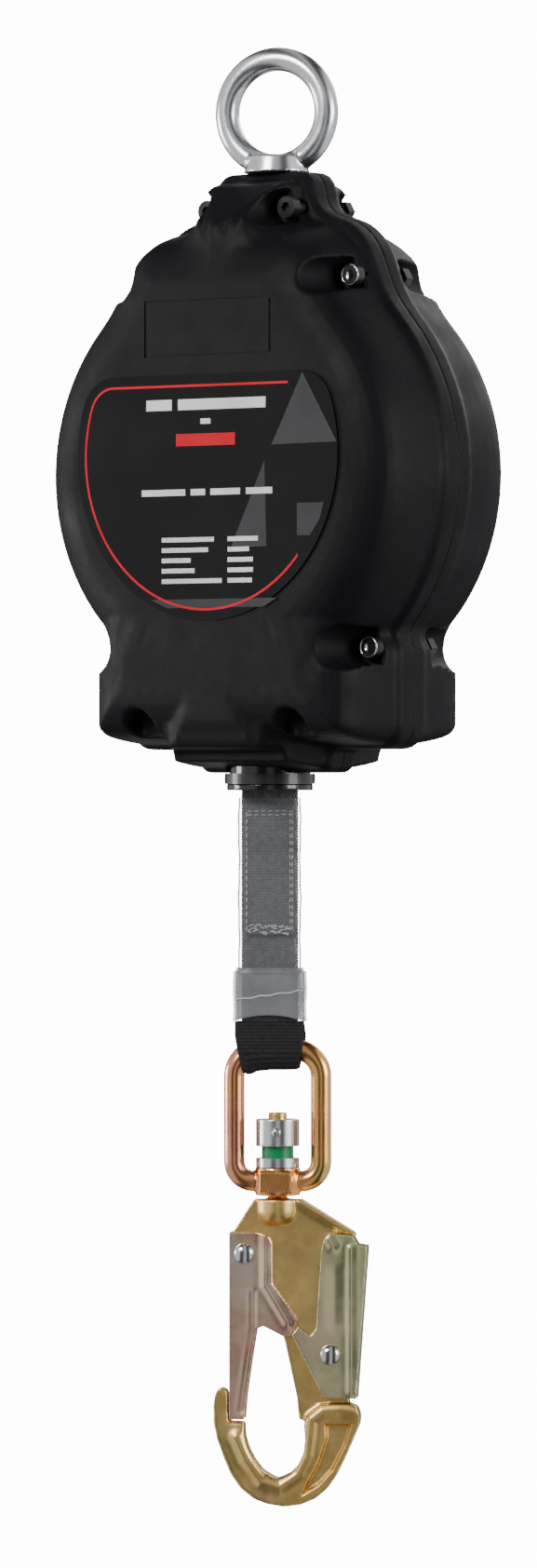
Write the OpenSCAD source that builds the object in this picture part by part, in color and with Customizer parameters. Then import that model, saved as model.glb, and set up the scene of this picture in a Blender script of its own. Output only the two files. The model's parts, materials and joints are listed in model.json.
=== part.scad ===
// Self retracting lifeline (retractable fall-arrester block), in millimetres.
// +Z is up, the casing's front faces -Y, and the origin is the centre of the anchor eye's hole.

/* [Anchor eye] */
// Yaw of the eye in its swivel at rest, degrees
eye_turn = 16; // [-90:1:90]
// Radius of the forged ring's centre line
eye_ring_r = 21.75; // [21.5:0.05:22]
// Radius of the ring's round bar
eye_bar_r = 4.95; // [4.9:0.05:5.2]
// Radius of the narrow land inside the ring
eye_land_r = 17; // [16.9:0.05:17.1]

/* [Casing] */
// Height of the drum's axle
drum_z = -148; // [-150:1:-147]
// Radius of the parting band round the body
rim_r = 93; // [91:0.5:95]
// Half the width of the head under the eye
head_half = 25; // [24:0.5:27]
// Half the width of the shoulders
shoulder_half = 56; // [55:0.5:60]
// Half the width of the base block
base_half = 70; // [69:0.5:74]
// Half the width of the lip round the nozzle
lip_half = 34; // [30:0.5:38]
// Half the casing's depth, at the label
front_y = 46; // [45.5:0.5:48]

/* [Chassis] */
// Radius of the drum's axle
axle_r = 7; // [6:0.5:8]
// Radial clearance of a running fit
run_gap = 0.05; // [0.03:0.01:0.08]

/* [Drum] */
// Width of the webbing
web_w = 23.5; // [20:0.5:24]
// Thickness of the webbing
web_t = 1.8; // [1.4:0.1:1.8]
// Radius of the drum's core
core_r = 20; // [19:0.5:22]
// Radius of the wound webbing
roll_r = 66.4; // [60:0.2:68]
// Radius of the drum's flanges
flange_r = 72; // [70:0.5:72]
// Thickness of the drum's flanges
flange_t = 2; // [1.5:0.5:3]

/* [Brake] */
// Outer radius of the ratchet ring and linings
ring_r = 46; // [44:0.5:47]
// Turns of the spiral return spring
spring_turns = 7; // [5:1:10]

/* [Line] */
// Distance of the line from the casing's centre plane
line_x = -3.6; // [-4:0.1:-3]
// Distance that the frame and hook hang to the line's right
hook_shift = 3.2; // [0:0.1:3.2]
// Yaw of the hanging line at rest, degrees
line_turn = 33; // [0:1:60]
// Height of the top of the doubled webbing
line_top_z = -281; // [-282:0.5:-280]
// Height where the sleeve's cuff begins
cuff_z = -351.5; // [-352:0.5:-351]
// Height where the ribbed loop begins
loop_z = -371.5; // [-372:0.5:-371]

/* [Frame and hook] */
// Height of the centre of the frame's top bar
bar_z = -382.3; // [-382.5:0.1:-382]
// Half the distance between the frame's upright bars
frame_half = 17.8; // [17:0.1:18.5]
// Radius of the frame's round bar
frame_bar_r = 4.25; // [4:0.05:4.3]
// Height of the hook's top
hook_top_z = -443.5; // [-444:0.1:-443.4]
// Half the thickness of the hook's jaw
jaw_half = 5.5; // [5.5:0.1:6.5]
// Thickness of the gate's and the lever's sheet
sheet = 1.2; // [1:0.1:1.2]

/* [Hidden] */
casing_top_z = -25;
plate_y = 20;
plate_t = 2;
pawl_pin_r = 24;
ratchet_teeth = 10;
collar_top_z = -17;
shank_r = 6;
shank_end_z = -66;
fine = 96;
mid = 48;
body_colour = "#1d1f23";
steel_colour = "#b9bbbe";

// ---------------------------------------------------------------- helpers

// a cylinder along Y from y0 to y1 at (x, z)
module rod_y(x, z, r, y0, y1, sides = mid)
    translate([x, y1, z]) rotate([90, 0, 0]) cylinder(r = r, h = y1 - y0, $fn = sides);

// a ring along Y from y0 to y1 at (x, z)
module ring_y(x, z, r_out, r_in, y0, y1, sides = fine)
    difference() {
        rod_y(x, z, r_out, y0, y1, sides);
        rod_y(x, z, r_in, y0 - 1, y1 + 1, sides);
    }

// a flat profile in X and Z, as thick as y0 to y1
module slab_y(y0, y1)
    translate([0, y1, 0]) rotate([90, 0, 0]) linear_extrude(y1 - y0) children();

// a ring along Z between two heights
module ring_z(r_out, r_in, z0, z1, sides = mid)
    translate([0, 0, z0]) difference() {
        cylinder(r = r_out, h = z1 - z0, $fn = sides);
        translate([0, 0, -1]) cylinder(r = r_in, h = z1 - z0 + 2, $fn = sides);
    }

// the children at +X and at -X
module both_sides() {
    children();
    mirror([1, 0, 0]) children();
}

// a block with rounded corners whose faces step in towards the front and the back
module puffed(half, z_low, z_high, corner, steps)
    hull() for (s = steps) for (sx = [-1, 1]) for (z = [z_low + corner, z_high - corner]) {
        inset = s[0];
        r = max(corner - inset, 1.5);
        pull = inset - (corner - r);
        dz = z > (z_low + z_high) / 2 ? -pull : pull;
        rod_y(sx * (half - corner - pull), z + dz, r, -s[1], s[1], 24);
    }

// ---------------------------------------------------------------- anchor

// forged swivel eye: round ring, conical collar and shank
module anchor_eye() color(steel_colour) {
    rotate([0, 0, eye_turn]) difference() {
        union() {
            rotate([90, 0, 0]) rotate_extrude($fn = fine)
                translate([eye_ring_r, 0]) circle(r = eye_bar_r, $fn = 32);
            translate([0, 0, casing_top_z + 0.2])
                cylinder(r1 = 13.5, r2 = 11.6, h = collar_top_z - casing_top_z - 0.8, $fn = mid);
        }
        rod_y(0, 0, eye_land_r, -12, 12, fine);
        translate([-30, -30, casing_top_z + 0.2 - 10]) cube([60, 60, 10]);
    }
    translate([0, 0, shank_end_z]) cylinder(r = shank_r, h = casing_top_z - shank_end_z + 0.2, $fn = mid);
}

module eye_thrust_washer() color("#a5763a") ring_z(9.8, shank_r + run_gap, -53, -51);

module eye_nut() color(steel_colour)
    translate([0, 0, -63]) difference() {
        cylinder(r = 9.8, h = 9.8, $fn = 6);
        translate([0, 0, -1]) cylinder(r = shank_r, h = 12, $fn = mid);
    }

module swivel_bush() color("#a5763a") {
    ring_z(10, shank_r + run_gap, -33, -31.2);
    ring_z(8, shank_r + run_gap, -51, -33);
}

module swivel_block() color(steel_colour)
    difference() {
        translate([-10.5, -plate_y, -51]) cube([21, 2 * plate_y, 18]);
        translate([0, 0, -60]) cylinder(r = 8, h = 30, $fn = mid);
    }

// ---------------------------------------------------------------- casing

shoulder_bolt = [51.5, -69, 7.5, 14];     // x, z, pocket radius, depth of the pocket's floor
base_bolt = [62.5, -219, 8, 16];
head_bolt = [20.5, -40.5, 7.5, 16];
lip_scoop = [39, -251, 7, 31];
bolts = [shoulder_bolt, base_bolt, head_bolt];
bolt_r = 2.5;

body_profile = [[0, -front_y], [66, -front_y], [74, -44.5], [81, -41], [86, -36.5], [88.5, -31],
    [91, -7], [rim_r, -5], [rim_r, 5], [91, 7], [88.5, 31], [86, 36.5], [81, 41], [74, 44.5],
    [66, front_y], [0, front_y]];
hollow_profile = [[0, -43], [64, -43], [73, -41], [80, -37], [84, -31],
    [84, 31], [80, 37], [73, 41], [64, 43], [0, 43]];

module casing_outer() {
    translate([0, 0, drum_z]) rotate([90, 0, 0]) rotate_extrude($fn = fine) polygon(body_profile);
    puffed(head_half, -90, casing_top_z, 9, [[0, 12], [2, 19], [6, 28], [12, 36], [16, 40]]);
    puffed(shoulder_half, -120, -44, 18, [[0, 22], [3, 32], [9, 40], [15, 44.5], [19, front_y]]);
    puffed(base_half, -259, -212, 10, [[0, 25], [3, 34], [8, 41], [14, 45], [18, front_y]]);
    puffed(lip_half, -269.5, -240, 6, [[0, 18], [2, 24], [6, 29], [10, 32]]);
    both_sides() translate([head_half - 4, 0, -50]) web_fillet();
}

// concave run-out from the head to the shoulder
module web_fillet()
    difference() {
        translate([0, -22, 0]) cube([18, 44, 16]);
        rod_y(17.5, 17.5, 13.5, -25, 25, mid);
    }

module casing_hollow() {
    translate([0, 0, drum_z]) rotate([90, 0, 0]) rotate_extrude($fn = fine) polygon(hollow_profile);
    translate([-11.2, -22.6, -90]) cube([22.4, 45.2, 59.2]);
    translate([-14, -22.6, -90]) cube([28, 45.2, 30]);
    translate([-30, -23.5, -262]) cube([60, 47, 70]);
    translate([0, 0, -40]) cylinder(r = shank_r + 0.6, h = 20, $fn = mid);
    translate([line_x, 0, -290]) cylinder(r = 16.5, h = 40, $fn = mid);
}

// a bolt's pocket, open to the front and outwards, with the bolt's own hole
module pocket(b) {
    rod_y(b[0], b[1], b[2], -60, -b[3], mid);
    translate([b[0], -60, b[1] - b[2]]) cube([30, 60 - b[3], 2 * b[2]]);
    rod_y(b[0], b[1], bolt_r, -60, 60, 24);
}

module half_shell()
    difference() {
        casing_outer();
        casing_hollow();
        both_sides() {
            pocket(shoulder_bolt);
            pocket(base_bolt);
            pocket(head_bolt);
            rod_y(lip_scoop[0], lip_scoop[1], lip_scoop[2], -60, -lip_scoop[3], mid);
        }
        translate([-32.5, -front_y - 1, -101]) cube([65, 1.6, 23]);
        translate([-120, 0, -300]) cube([240, 100, 320]);
    }

module front_shell() color(body_colour) half_shell();
module rear_shell() color(body_colour) mirror([0, 1, 0]) half_shell();

module shell_bolts() color(body_colour)
    both_sides() for (b = bolts) {
        rod_y(b[0], b[1], bolt_r, -b[3], b[3] + 4, 24);
        difference() {
            rod_y(b[0], b[1], 4.4, -b[3] - 4.5, -b[3], mid);
            rod_y(b[0], b[1], 2.2, -b[3] - 5, -b[3] - 2, 6);
        }
    }

module shell_nuts() color(steel_colour)
    both_sides() for (b = bolts) difference() {
        rod_y(b[0], b[1], 4.6, b[3], b[3] + 4, 6);
        rod_y(b[0], b[1], bolt_r, b[3] - 1, b[3] + 5, 24);
    }

// ---------------------------------------------------------------- label

label_r = 67;
label_z = -141;
label_top_z = -108.5;
label_corner_r = 16;
label_y = -front_y - 0.6;
print_t = 0.15;

// shield: a round bottom and a flat top with rounded corners, taken in by some millimetres
module label_shape(in = 0) {
    corner_z = label_top_z - label_corner_r;
    corner_d = label_r - label_corner_r;
    corner_x = sqrt(pow(corner_d, 2) - pow(corner_z - label_z, 2));
    touch = (label_r - in) / corner_d;
    touch_x = corner_x * touch;
    touch_z = label_z + (corner_z - label_z) * touch;
    intersection() {
        translate([0, label_z]) circle(r = label_r - in, $fn = fine);
        translate([-80, touch_z - 200]) square([160, 200]);
    }
    for (s = [-1, 1]) translate([s * corner_x, corner_z]) circle(r = label_corner_r - in, $fn = mid);
    translate([-corner_x, label_z]) square([2 * corner_x, label_top_z - in - label_z]);
    polygon([[-touch_x, touch_z], [-corner_x, corner_z - 4], [corner_x, corner_z - 4],
        [touch_x, touch_z], [corner_x, corner_z + 2], [-corner_x, corner_z + 2]]);
}

module front_label() color("#0c0c0e") slab_y(label_y, -front_y) label_shape();

module label_border() color("#b01820")
    slab_y(label_y - print_t, label_y) difference() {
        label_shape(4);
        label_shape(5);
        translate([47, -187]) square([40, 90]);
        translate([42, -115]) square([40, 20]);
    }

// plain grey shapes and bars in place of the printed matter
module label_graphic() color("#9fa1a4")
    slab_y(label_y - print_t, label_y) {
        polygon([[46, -111], [60.5, -138], [31.5, -138]]);
        polygon([[24, -146], [63, -146], [61, -160], [46, -180], [10, -180]]);
        intersection() {
            label_shape(6);
            translate([-60, -201.5]) square([120, 3.8]);
        }
        for (row = [0:4]) {
            translate([-30, -169.5 - 5.2 * row]) square([27 - 3 * (row % 2), 1.6]);
            if (row > 0) translate([4, -169.5 - 5.2 * row]) square([12, 1.6]);
        }
        translate([-38, -127]) square([60, 3]);
        translate([-30, -147]) square([44, 2]);
    }

module id_plate() color(body_colour)
    translate([-31.5, -front_y + 0.2, -100.2]) cube([63, 0.4, 21.4]);

// ---------------------------------------------------------------- chassis

spacers = [[22, -72.5], [34, -218.5]];

module plate_body(y0) {
    slab_y(y0, y0 + plate_t) translate([0, drum_z]) circle(r = 50, $fn = fine);
    slab_y(y0, y0 + plate_t) translate([-10.5, -80]) square([21, 47]);
    slab_y(y0, y0 + plate_t)
        polygon([[-28, -71], [28, -71], [28, -78], [49, -140], [49, -156], [40, -212], [40, -222],
            [26, -226], [26, -254], [-26, -254], [-26, -226], [-40, -222], [-40, -212], [-49, -156],
            [-49, -140], [-28, -78]]);
}

module side_plate(y0)
    difference() {
        plate_body(y0);
        rod_y(0, drum_z, 10, -50, 50, mid);
        both_sides() for (s = spacers) rod_y(s[0], s[1], 2, -50, 50, 24);
        for (s = [-1, 1]) rod_y(line_x + s * 5, -244.5, 2.5, -50, 50, 24);
    }

module front_plate() color(steel_colour) side_plate(-plate_y - plate_t);
module rear_plate() color(steel_colour) side_plate(plate_y);

module plate_spacers() color(steel_colour)
    both_sides() for (s = spacers) ring_y(s[0], s[1], 4.5, 2, -plate_y, plate_y, mid);

module spacer_screws() color(steel_colour)
    both_sides() for (s = spacers) {
        rod_y(s[0], s[1], 2, -plate_y - plate_t, plate_y + plate_t, 24);
        for (e = [-1, 1]) rod_y(s[0], s[1], 3.6, e > 0 ? 22 : -24.2, e > 0 ? 24.2 : -22, mid);
    }

module axle_bushes() color("#a5763a")
    for (e = [0, 1]) mirror([0, e, 0]) {
        ring_y(0, drum_z, 10, axle_r + run_gap, -plate_y - plate_t, -plate_y, mid);
        ring_y(0, drum_z, 12.5, axle_r + run_gap, -plate_y, -plate_y + 1.5, mid);
    }

module guide_rollers() color(steel_colour)
    for (s = [-1, 1]) {
        rod_y(line_x + s * 5, -244.5, 4, -plate_y + 0.2, plate_y - 0.2, mid);
        rod_y(line_x + s * 5, -244.5, 2.5, -plate_y - plate_t, plate_y + plate_t, 24);
    }

// ---------------------------------------------------------------- brake and spring, fixed to the chassis

tooth_r = 37.3;
notch_r = 42;
notch_half = 7;                  // half a notch, degrees
notch_at = 123.5;                // where an engaged pawl's tip stands, degrees
screw_ring_r = 49.5;

// a wedge from the drum's axle, centred on an angle
module wedge(angle, half, r)
    polygon([[0, 0], [r * cos(angle - half), r * sin(angle - half)],
        [r * cos(angle + half), r * sin(angle + half)]]);

module brake_linings() color("#3a3028")
    for (y = [-23.6, -30.2]) ring_y(0, drum_z, ring_r, 38.5, y, y + 1.6);

module ratchet_ring() color(steel_colour)
    translate([0, 0, drum_z]) slab_y(-28.6, -23.6) difference() {
        circle(r = ring_r, $fn = fine);
        circle(r = tooth_r, $fn = fine);
        intersection() {
            circle(r = notch_r, $fn = fine);
            for (k = [0:ratchet_teeth - 1]) wedge(notch_at + k * 360 / ratchet_teeth, notch_half, 60);
        }
    }

module screw_circle(r, y0, y1, sides = 24)
    for (k = [0:5]) {
        a = 30 + 60 * k;
        rod_y(screw_ring_r * cos(a), drum_z + screw_ring_r * sin(a), r, y0, y1, sides);
    }

module pressure_plate() color(steel_colour)
    difference() {
        ring_y(0, drum_z, 53, 36, -32.2, -30.2);
        screw_circle(1.5, -40, -20);
    }

module brake_screws() color(steel_colour) {
    screw_circle(1.5, -32.2, -22);
    screw_circle(2.8, -34.4, -32.2);
}

module spring_case() color(body_colour)
    difference() {
        rod_y(0, drum_z, 52, 22, 38, fine);
        rod_y(0, drum_z, 50, 21, 36.5, fine);
    }

spring_steps = 24;
spring_in_r = 13;
spring_out_r = 49.4;
spring_t = 0.6;

function coil_point(k, extra) =
    let (a = 360 * k / spring_steps)
    let (r = spring_in_r + (spring_out_r - spring_in_r) * k / (spring_turns * spring_steps) + extra)
    [r * cos(a), r * sin(a)];

module retraction_spring() color(steel_colour) {
    last = spring_turns * spring_steps;
    translate([0, 0, drum_z]) slab_y(23.4, 35.4) polygon(concat(
        [for (k = [0:last]) coil_point(k, 0)],
        [for (k = [0:last]) coil_point(last - k, spring_t)]));
}

module exit_nozzle() color(body_colour) {
    translate([line_x, 0, 0]) {
        ring_z(16.5, 13.6, -274, -262.2, fine);
        ring_z(17.6, 13.6, -276.6, -274, fine);
    }
}

module nozzle_bumper() color(body_colour)
    translate([line_x, 0, 0]) ring_z(18.5, 16.5, -274, -269.7, fine);

// ---------------------------------------------------------------- drum

module main_axle() color(steel_colour) rod_y(0, drum_z, axle_r, -31.5, 36.2, mid);

module drum_core() color(body_colour)
    difference() {
        union() {
            rod_y(0, drum_z, core_r, -12.6, 12.6, fine);
            rod_y(0, drum_z, 12, -18.4, 18.4, mid);
        }
        rod_y(0, drum_z, axle_r, -30, 30, mid);
        rod_y(0, drum_z + 16, 2, -30, 30, 24);
    }

module drum_flanges() color(body_colour)
    for (y = [-12.6 - flange_t, 12.6]) difference() {
        ring_y(0, drum_z, flange_r, 12, y, y + flange_t);
        rod_y(0, drum_z + 16, 2, -30, 30, 24);
        for (k = [0:5]) rod_y(46 * cos(60 * k), drum_z + 46 * sin(60 * k), 9, -30, 30, mid);
    }

module webbing_roll() color("#77787b") ring_y(0, drum_z, roll_r, core_r, -web_w / 2, web_w / 2);

module webbing_pin() color(steel_colour) rod_y(0, drum_z + 16, 2, -16, 16, 24);

module axle_circlips() color(steel_colour) ring_y(0, drum_z, 9.5, axle_r, -30.4, -29.2, mid);

module pawl_carrier() color(steel_colour)
    difference() {
        ring_y(0, drum_z, 33, axle_r, -24.9, -22.4);
        for (s = [-1, 1]) rod_y(0, drum_z + s * pawl_pin_r, 2.5, -40, -20, mid);
    }

module pawl_pins() color(steel_colour)
    for (s = [-1, 1]) {
        rod_y(0, drum_z + s * pawl_pin_r, 2.5, -29, -22.4, mid);
        rod_y(0, drum_z + s * pawl_pin_r, 3.6, -29.8, -29, mid);
    }

module spring_arbor() color(steel_colour)
    difference() {
        ring_y(0, drum_z, 11, axle_r, 22.4, 35.8, mid);
        translate([8, 20, drum_z - 1]) cube([6, 20, 2]);
    }

// a pawl parked on the pin above the axle, its tip leading the way the drum pays out
module pawl()
    difference() {
        union() {
            rod_y(0, pawl_pin_r, 5, -28.6, -25.2, mid);
            slab_y(-28.6, -25.2) polygon([[2, pawl_pin_r - 4.6], [-24, pawl_pin_r - 3.5],
                [-24, pawl_pin_r + 3.5], [0, pawl_pin_r + 5]]);
        }
        rod_y(0, pawl_pin_r, 2.5 + run_gap, -40, -20, mid);
    }

module pawl_a() color(steel_colour) translate([0, 0, drum_z]) pawl();
module pawl_b() color(steel_colour) translate([0, 0, drum_z]) rotate([0, 180, 0]) pawl();

// ---------------------------------------------------------------- line

module hang(x) translate([x, 0, 0]) rotate([0, 0, line_turn]) children();

// a flat block centred on the hanging group's own axis
module strap(width, y0, y1, z0, z1)
    translate([-width / 2, y0, z0]) cube([width, y1 - y0, z1 - z0]);

// a tube with a rounded oblong section
module oblong_tube(width, depth, t, z0, z1, r = 2)
    translate([0, 0, z0]) linear_extrude(z1 - z0) difference() {
        oblong(width, depth, r);
        oblong(width - 2 * t, depth - 2 * t, r - t / 2);
    }

module oblong(width, depth, r) {
    square([width - 2 * r, depth], center = true);
    square([width, depth - 2 * r], center = true);
    for (x = [-1, 1]) for (y = [-1, 1])
        translate([x * (width / 2 - r), y * (depth / 2 - r)]) circle(r = r, $fn = 24);
}

// from the roll, between the guide bars, then twisting to face the way the line hangs
module webbing_lead() color("#77787b") {
    bars_z = -240;
    reach = norm([line_x, bars_z - drum_z]);
    layer_r = roll_r + web_t / 2 + 0.2;
    leave = atan2(bars_z - drum_z, line_x) - acos(layer_r / reach);
    from = [layer_r * cos(leave), drum_z + layer_r * sin(leave)];
    dir = [line_x - from[0], bars_z - from[1]];
    slope = atan2(dir[1], dir[0]);
    translate([from[0], 0, from[1]]) rotate([0, -slope, 0])
        translate([0, -web_w / 2, -web_t / 2]) cube([norm(dir) + 0.4, web_w, web_t]);
    translate([line_x - web_t / 2, -web_w / 2, -248]) cube([web_t, web_w, 8]);
    translate([line_x, 0, line_top_z]) rotate([0, 0, line_turn])
        linear_extrude(-248 - line_top_z, twist = -(90 - line_turn), slices = 24)
            square([web_w, web_t], center = true);
}

module webbing_splice() color("#77787b") hang(line_x) strap(web_w, -web_t, web_t, loop_z, line_top_z);

module webbing_tail() color("#77787b") hang(line_x) strap(20.5, -2 * web_t, -web_t, -335.5, line_top_z - 1.5);

module splice_stitching() color("#d8d8d4") hang(line_x) {
    y0 = -2 * web_t - 0.35;
    y1 = -2 * web_t;
    for (x = [-8, 8]) translate([x, 0, 0]) strap(1, y0, y1, -333, -285);
    for (x = [-3, 3]) translate([x, 0, 0]) strap(0.8, y0, y1, -331, -287);
    for (z = [-333, -286]) strap(15, y0, y1, z, z + 1);
}

module clear_sleeve() color("#c8ccd0") hang(line_x) translate([0, -1, 0]) oblong_tube(25.6, 9.2, 0.8, cuff_z, -279.4);

module sleeve_cuff() color("#c8ccd0") hang(line_x) difference() {
    oblong_tube(30.8, 11.4, 1.2, loop_z + 2, cuff_z + 3, 3);
    translate([0, -1, cuff_z]) linear_extrude(10) oblong(25.6, 9.2, 2);
}

// ribbed tube of webbing round the swivel frame's top bar
module loop_protector() color(body_colour) hang(line_x) difference() {
    union() {
        hull() {
            strap(26.6, -4, 4, loop_z - 1, loop_z);
            strap(29, -5.4, 5.4, loop_z - 3, loop_z - 2);
            strap(27, -7, 7, bar_z + 4.6, bar_z + 5.2);
        }
        translate([hook_shift, 0, bar_z]) rotate([0, 90, 0])
            translate([0, 0, -10.5]) cylinder(r = 8.4, h = 21, $fn = mid);
    }
    translate([0, 0, bar_z]) rotate([0, 90, 0]) translate([0, 0, -25]) cylinder(r = 5.4, h = 50, $fn = mid);
}

// ---------------------------------------------------------------- swivel frame

frame_low_z = -436.2;
frame_top_corner = 11;
frame_low_corner = 8;
stud_r = 3.8;

module hang_hook() hang(line_x) translate([hook_shift, 0, 0]) children();

module bar(from, to)
    translate([from[0], 0, from[1]])
        rotate([0, atan2(to[0] - from[0], to[1] - from[1]), 0])
            cylinder(r = frame_bar_r, h = norm(to - from), $fn = mid);

module frame_bend(x, z, start, corner)
    translate([x, 0, z]) rotate([90, 0, 0]) rotate([0, 0, start])
        rotate_extrude(angle = 90, $fn = mid) translate([corner, 0]) circle(r = frame_bar_r, $fn = 32);

module swivel_frame() color("#d59a78") hang_hook() {
    top_x = frame_half - frame_top_corner;
    low_x = frame_half - frame_low_corner;
    top = bar_z - frame_top_corner;
    low = frame_low_z + frame_low_corner;
    difference() {
        union() {
            bar([-top_x, bar_z], [top_x, bar_z]);
            bar([-frame_half, low], [-frame_half, top]);
            bar([frame_half, low], [frame_half, top]);
            bar([-low_x, frame_low_z], [low_x, frame_low_z]);
            frame_bend(top_x, top, 0, frame_top_corner);
            frame_bend(-top_x, top, 90, frame_top_corner);
            frame_bend(-low_x, low, 180, frame_low_corner);
            frame_bend(low_x, low, 270, frame_low_corner);
            ring_z(9.1, 1, -441.9, -430.5);
            translate([-6.5, -9.9, -440.4]) cube([13, 4, 8.4]);
        }
        translate([0, 0, -450]) cylinder(r = stud_r + 0.08, h = 30, $fn = mid);
    }
}

// ---------------------------------------------------------------- hook

plate_half = 4;                 // half the hook plate's thickness
gate_pin = [-13.3, -22];        // x, and z below the hook's top
lever_pin = [22, -63];
gate_gap = 4.3;                 // half the gap between the gate's legs
lever_gap = 5.8;
pin_r = 2;

// the forged plate from the neck down the spine
plate_points = [[-9.5, 0], [10, 0], [31.5, -13.2], [32.3, -14.8], [26, -18.5], [26, -24], [29.5, -82],
    [30, -90], [9, -90], [8.2, -81], [5, -66], [3, -57], [-1, -46], [-6, -34], [-10, -27.5],
    [-13, -24], [-18, -22], [-18, -13.3], [-17.2, -12]];

// the thick jaw and the nose
jaw_points = [[29.5, -83], [32.6, -84.2], [34, -87.5], [34, -91], [31.6, -96.5], [29.7, -101],
    [27, -107], [24, -113], [20.5, -118], [16, -121.8], [10, -124.4], [3, -125.4], [-4, -124.3],
    [-9.5, -122.2], [-15, -117.8], [-19, -112], [-22, -105], [-24.5, -98], [-26, -91], [-26, -84],
    [-25.3, -79.5], [-24.3, -77.6], [-22.6, -77], [-20.9, -77.8], [-20.2, -79.5], [-19.9, -90.8],
    [-13.3, -90.8], [-13.3, -96], [-12, -101], [-9.5, -106], [-6, -110.5], [0, -114], [5, -111.8],
    [8.8, -108], [11, -103], [11.6, -97], [11, -91.5], [13.2, -87.5], [17, -84.5], [22, -83]];

module in_hook() hang_hook() translate([0, 0, hook_top_z]) children();

module hook_body() color("#c49a45") in_hook()
    difference() {
        union() {
            difference() {
                slab_y(-plate_half, plate_half) {
                    polygon(plate_points);
                    translate(gate_pin) circle(r = 4.7, $fn = mid);
                }
                for (e = [0, 1]) mirror([0, e, 0])
                    rod_y(gate_pin[0], gate_pin[1], 5.4, -9, -2.2, mid);
            }
            rod_y(gate_pin[0], gate_pin[1], 2.7, -2.2, 2.2, mid);
            slab_y(-jaw_half, jaw_half) polygon(jaw_points);
            translate([0, 0, -5]) cylinder(r = 8.6, h = 5, $fn = mid);
            translate([0, 0, -5]) scale([1, 1, 0.75]) sphere(r = 8.6, $fn = 32);
            cylinder(r = stud_r, h = 35.4, $fn = mid);
        }
        for (p = [gate_pin, lever_pin]) rod_y(p[0], p[1], pin_r, -20, 20, mid);
        rod_y(0, 27.4, 1.25, -20, 20, 24);
    }

module swivel_washer() color(steel_colour) in_hook() ring_z(8.9, stud_r, 13.1, 16.8);
module indicator_ring() color("#11804a") in_hook() ring_z(6.5, stud_r, 16.8, 21.7);

module swivel_collar() color(steel_colour) in_hook() difference() {
    ring_z(8.9, stud_r, 21.7, 32.7);
    rod_y(0, 27.4, 1.25, -20, 20, 24);
}

module collar_pin() color("#b8703c") in_hook() rod_y(0, 27.4, 1.25, -9.2, 9.2, 24);

// a rivet: shaft through both legs, washers where there is a gap, and two domed heads
module rivet(p, leg_out, leg_in) in_hook() {
    rod_y(p[0], p[1], pin_r, -leg_out - 0.2, leg_out + 0.2, mid);
    for (e = [0, 1]) mirror([0, e, 0]) {
        if (leg_in > plate_half + 1) ring_y(p[0], p[1], 3.6, pin_r, plate_half, leg_in - 0.15, mid);
        translate([p[0], leg_out + 0.15, p[1]]) rotate([-90, 0, 0]) intersection() {
            scale([1, 1, 0.62]) sphere(r = 4.2, $fn = 32);
            cylinder(r = 5, h = 5, $fn = mid);
        }
    }
}

module gate_rivet() color(steel_colour) rivet(gate_pin, gate_gap + sheet, gate_gap);
module lever_rivet() color(steel_colour) rivet(lever_pin, lever_gap + sheet, lever_gap);

gate_points = [[-19.5, -13.3], [-7.5, -13.3], [-3, -15], [-1.8, -17.5], [-1.5, -34.6], [8.7, -48.6],
    [5.7, -55.7], [3, -55.9], [-5.3, -51.7], [-8.4, -52.8], [-10.5, -66], [-12.6, -81],
    [-13.3, -89.8], [-19.5, -89.8]];

lever_points = [[21.7, -13.6], [31, -14.4], [33.2, -18.2], [37, -18.6], [37, -21], [32.7, -81],
    [20.5, -80.6], [17.9, -77.9], [12.2, -66.5], [6.3, -54.9], [9.1, -51.6], [14, -55.3],
    [16.3, -52.2], [18.4, -20.1], [19.4, -16]];

// two sheet-metal legs of one outline
module legs(gap) for (y = [-gap - sheet, gap]) slab_y(y, y + sheet) children();

module gate() color("#d59a78") in_hook() {
    difference() {
        legs(gate_gap) polygon(gate_points);
        rod_y(gate_pin[0], gate_pin[1], pin_r + run_gap, -20, 20, mid);
    }
    translate([-19.5, -gate_gap, -89.8]) cube([sheet, 2 * gate_gap, 76.5]);
}

// a torsion spring either side of the hook plate, one leg down the gate's web
module gate_spring() color(steel_colour) in_hook()
    for (e = [0, 1]) mirror([0, e, 0]) {
        for (y = [2.75, 3.75]) translate([gate_pin[0], y, gate_pin[1]]) rotate([90, 0, 0])
            rotate_extrude($fn = mid) translate([3.6, 0]) circle(r = 0.45, $fn = 12);
        translate([gate_pin[0] - 4.35, 3.75, gate_pin[1] - 17]) cylinder(r = 0.45, h = 15, $fn = 12);
    }

// a dog on each leg's inside bars the gate's ears until the lever tips
dog_points = [[6.9, -56.1], [9.1, -54.5], [12.4, -58.3], [10.8, -62]];

module lock_lever() color("#b9b184") in_hook() {
    difference() {
        legs(lever_gap) polygon(lever_points);
        rod_y(lever_pin[0], lever_pin[1], pin_r + run_gap, -20, 20, mid);
    }
    legs_web = [[37, -18.6], [37, -21], [32.7, -81], [31.5, -81], [35.8, -21], [35.8, -18.6]];
    slab_y(-lever_gap, lever_gap) polygon(legs_web);
    for (e = [0, 1]) mirror([0, e, 0]) slab_y(gate_gap + 0.1, lever_gap) polygon(dog_points);
}

module lever_spring() color(steel_colour) in_hook()
    for (y = [-1.3, 0, 1.3]) translate([28.5, y, -30]) rotate([0, 90, 0])
        rotate_extrude($fn = mid) translate([2.2, 0]) circle(r = 0.4, $fn = 12);

// ---------------------------------------------------------------- nodes

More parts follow.
